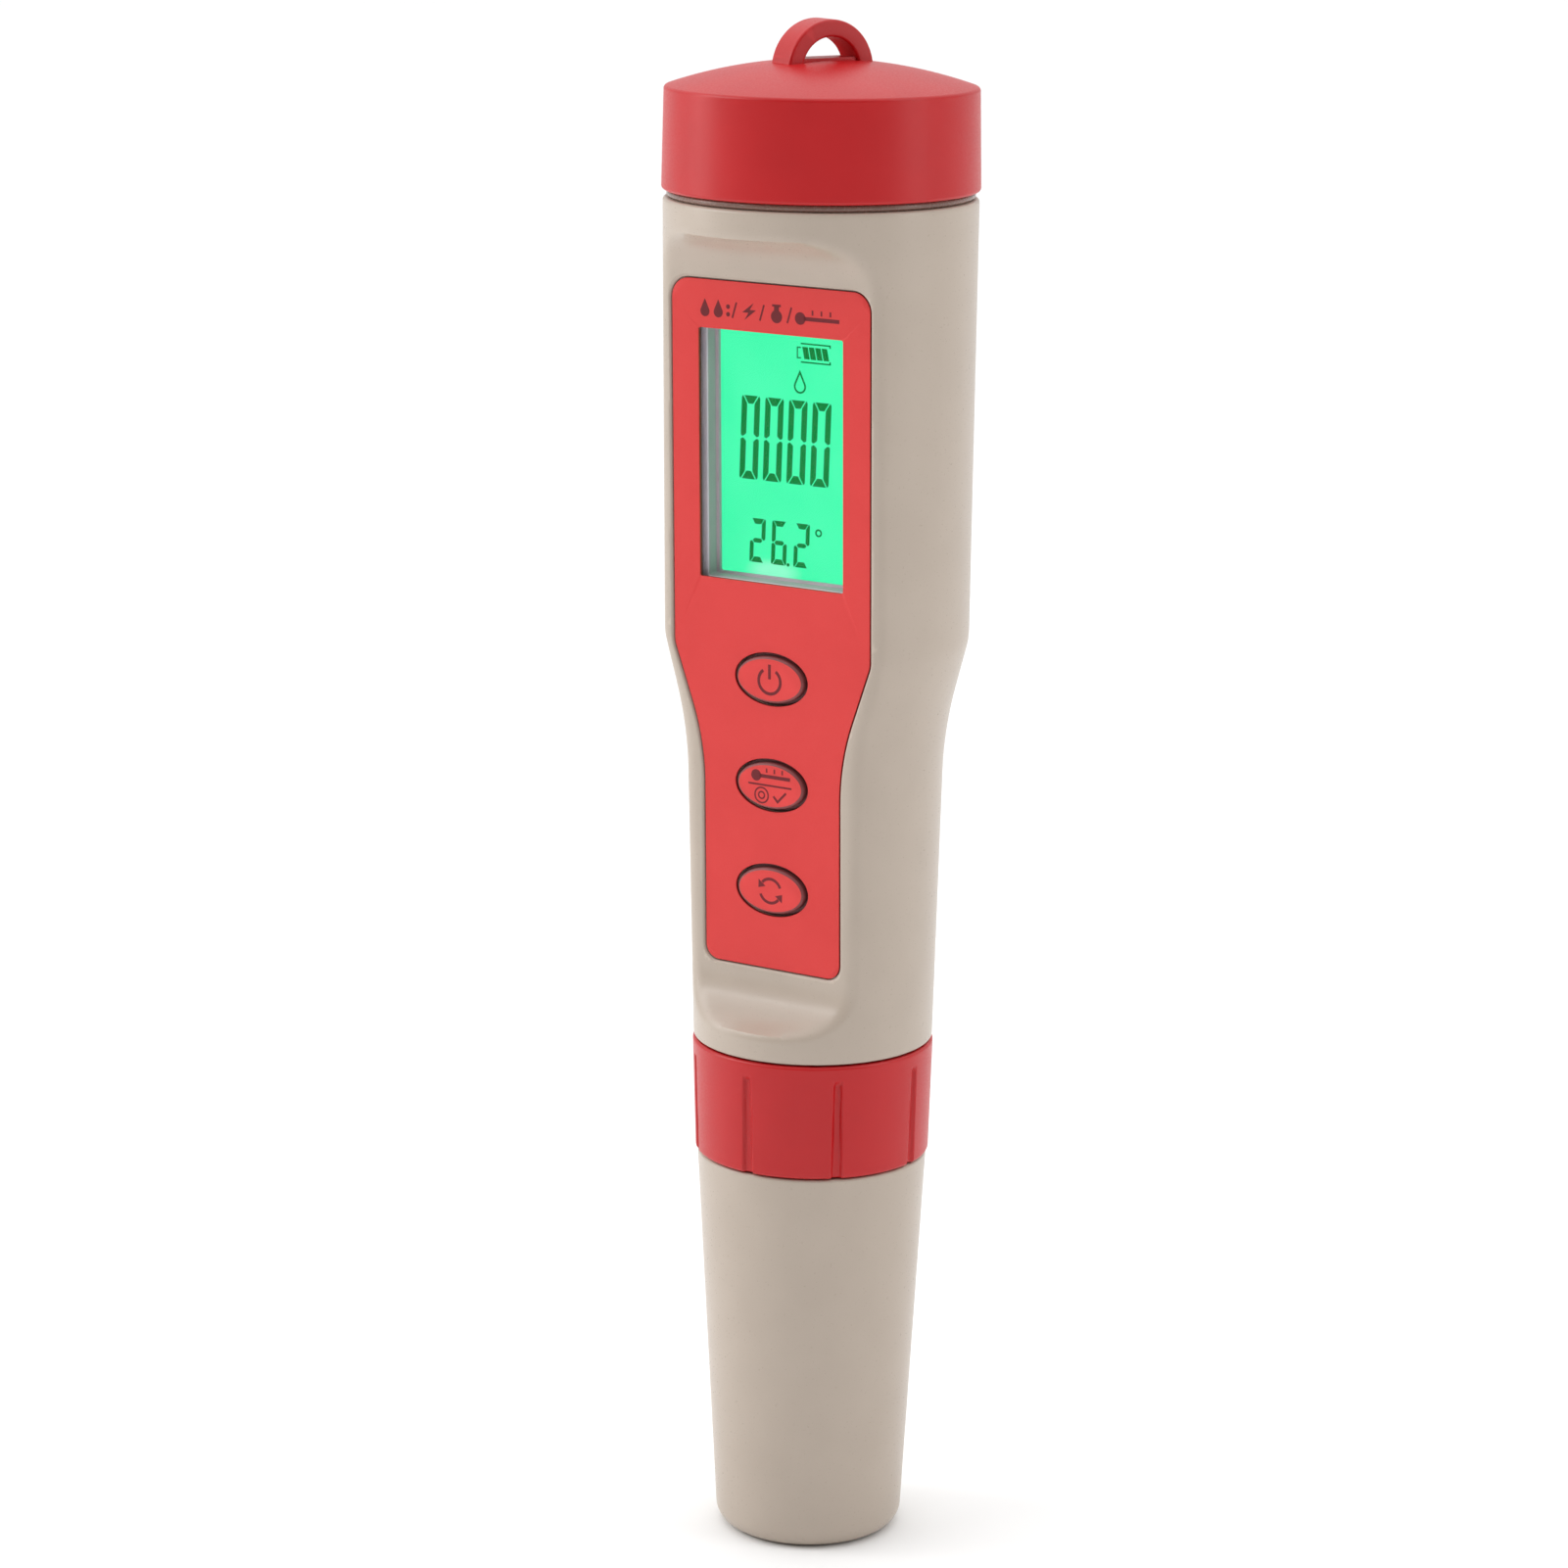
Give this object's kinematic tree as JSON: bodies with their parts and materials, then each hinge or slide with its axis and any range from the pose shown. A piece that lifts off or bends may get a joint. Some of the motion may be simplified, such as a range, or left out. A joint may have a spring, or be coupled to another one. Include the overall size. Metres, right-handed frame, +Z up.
{
  "type": "digital water tester",
  "caption": "Pen-shaped digital water tester with a backlit display, oval keys, screw-on battery cap with lanyard eye, locking collar and a capped probe.",
  "frame": {"origin": "centre of the probe cap's flat base", "axes": "+Z up the pen's axis towards the battery cap and its loop; the display and the keys face -Y"},
  "size_m": [0.038, 0.038, 0.188],
  "materials": {
    "body_beige": "fine matte moulded ABS",
    "cap_red": "satin moulded ABS",
    "label_red": "matt printed film",
    "key_red": "matt moulded ABS",
    "lens_clear": "clear polished acrylic",
    "lcd_green": "backlit liquid crystal cell",
    "frame_grey": "grey moulded ABS",
    "diffuser_white": "milky acrylic",
    "led_white": "cast epoxy",
    "zebra_pink": "striped silicone",
    "board_green": "solder mask over glass epoxy",
    "chip_black": "moulded epoxy",
    "part_black": "black moulded ABS",
    "probe_dark": "dark moulded ABS",
    "steel": "plain steel",
    "nickel": "nickel plate",
    "gold_contact": "gold-flashed brass",
    "rubber_black": "smooth nitrile rubber",
    "gasket_brown": "soft silicone",
    "probe_glass": "thin blown glass",
    "graphite": "smooth graphite",
    "ceramic": "porous ceramic",
    "sponge": "open-cell sponge"
  },
  "bodies": {
    "housing": {"barrel": "body_beige", "front_label": "label_red", "display_lens": "lens_clear", "lcd_frame": "frame_grey", "lcd_glass": "lcd_green", "backlight_guide": "diffuser_white", "backlight_led": "led_white", "zebra_strip": "zebra_pink", "circuit_board": "board_green", "controller_chip": "chip_black", "amplifier_chip": "chip_black", "clock_crystal": "steel", "power_switch": "steel", "temp_cal_switch": "steel", "mode_switch": "steel", "battery_holder": "part_black", "holder_screws": "steel", "button_cells": "nickel", "battery_spring": "nickel", "battery_strip": "gold_contact", "probe_socket": "part_black", "socket_contacts": "gold_contact"},
    "power_key": {"power_button": "key_red", "power_plunger": "part_black"},
    "temp_cal_key": {"temp_cal_button": "key_red", "temp_cal_plunger": "part_black"},
    "mode_key": {"mode_button": "key_red", "mode_plunger": "part_black"},
    "cap_seal": {"cap_gasket": "gasket_brown"},
    "top_cap": {"battery_cap": "cap_red", "cap_contact": "nickel"},
    "probe": {"probe_body": "probe_dark", "probe_pins": "gold_contact", "plug_o_ring": "rubber_black", "retaining_ring": "steel", "ph_electrode": "probe_glass", "electrode_wire": "steel", "reference_junction": "ceramic", "ec_pins": "graphite", "temperature_sensor": "steel", "cap_o_ring": "rubber_black"},
    "collar": {"lock_collar": "cap_red"},
    "cover": {"probe_cap": "body_beige", "storage_sponge": "sponge"}
  },
  "joints": [
    {"name": "power_press", "type": "slide", "parent": "housing", "child": "power_key", "axis": [0, 0.9998, 0.0201], "range_m": [0, 0.0005], "stiffness_N_per_m": 3000, "springref_m": -0.0003},
    {"name": "temp_cal_press", "type": "slide", "parent": "housing", "child": "temp_cal_key", "axis": [0, 0.9998, 0.0201], "range_m": [0, 0.0005], "stiffness_N_per_m": 3000, "springref_m": -0.0003},
    {"name": "mode_press", "type": "slide", "parent": "housing", "child": "mode_key", "axis": [0, 0.9998, 0.0201], "range_m": [0, 0.0005], "stiffness_N_per_m": 3000, "springref_m": -0.0003},
    {"name": "cap_lift", "type": "slide", "parent": "housing", "child": "cap_seal", "axis": [0, 0, 1], "range_m": [0, 0.0051]},
    {"name": "cap_turn", "type": "hinge", "parent": "cap_seal", "child": "top_cap", "pos_m": [0, 0, 0.172], "axis": [0, 0, 1], "range_deg": [0, 900]},
    {"name": "probe_draw", "type": "slide", "parent": "housing", "child": "probe", "axis": [0, 0, -1], "range_m": [0, 0.005]},
    {"name": "collar_turn", "type": "hinge", "parent": "probe", "child": "collar", "pos_m": [0, 0, 0.056], "axis": [0, 0, -1], "range_deg": [0, 1080]},
    {"name": "cover_pull", "type": "slide", "parent": "probe", "child": "cover", "axis": [0, 0, -1], "range_m": [0, 0.045]}
  ],
  "couplings": [
    {"joint": "cap_lift", "follows": "cap_turn", "m_per_rad": 0.00031831},
    {"joint": "probe_draw", "follows": "collar_turn", "m_per_rad": 0.00023873}
  ]
}
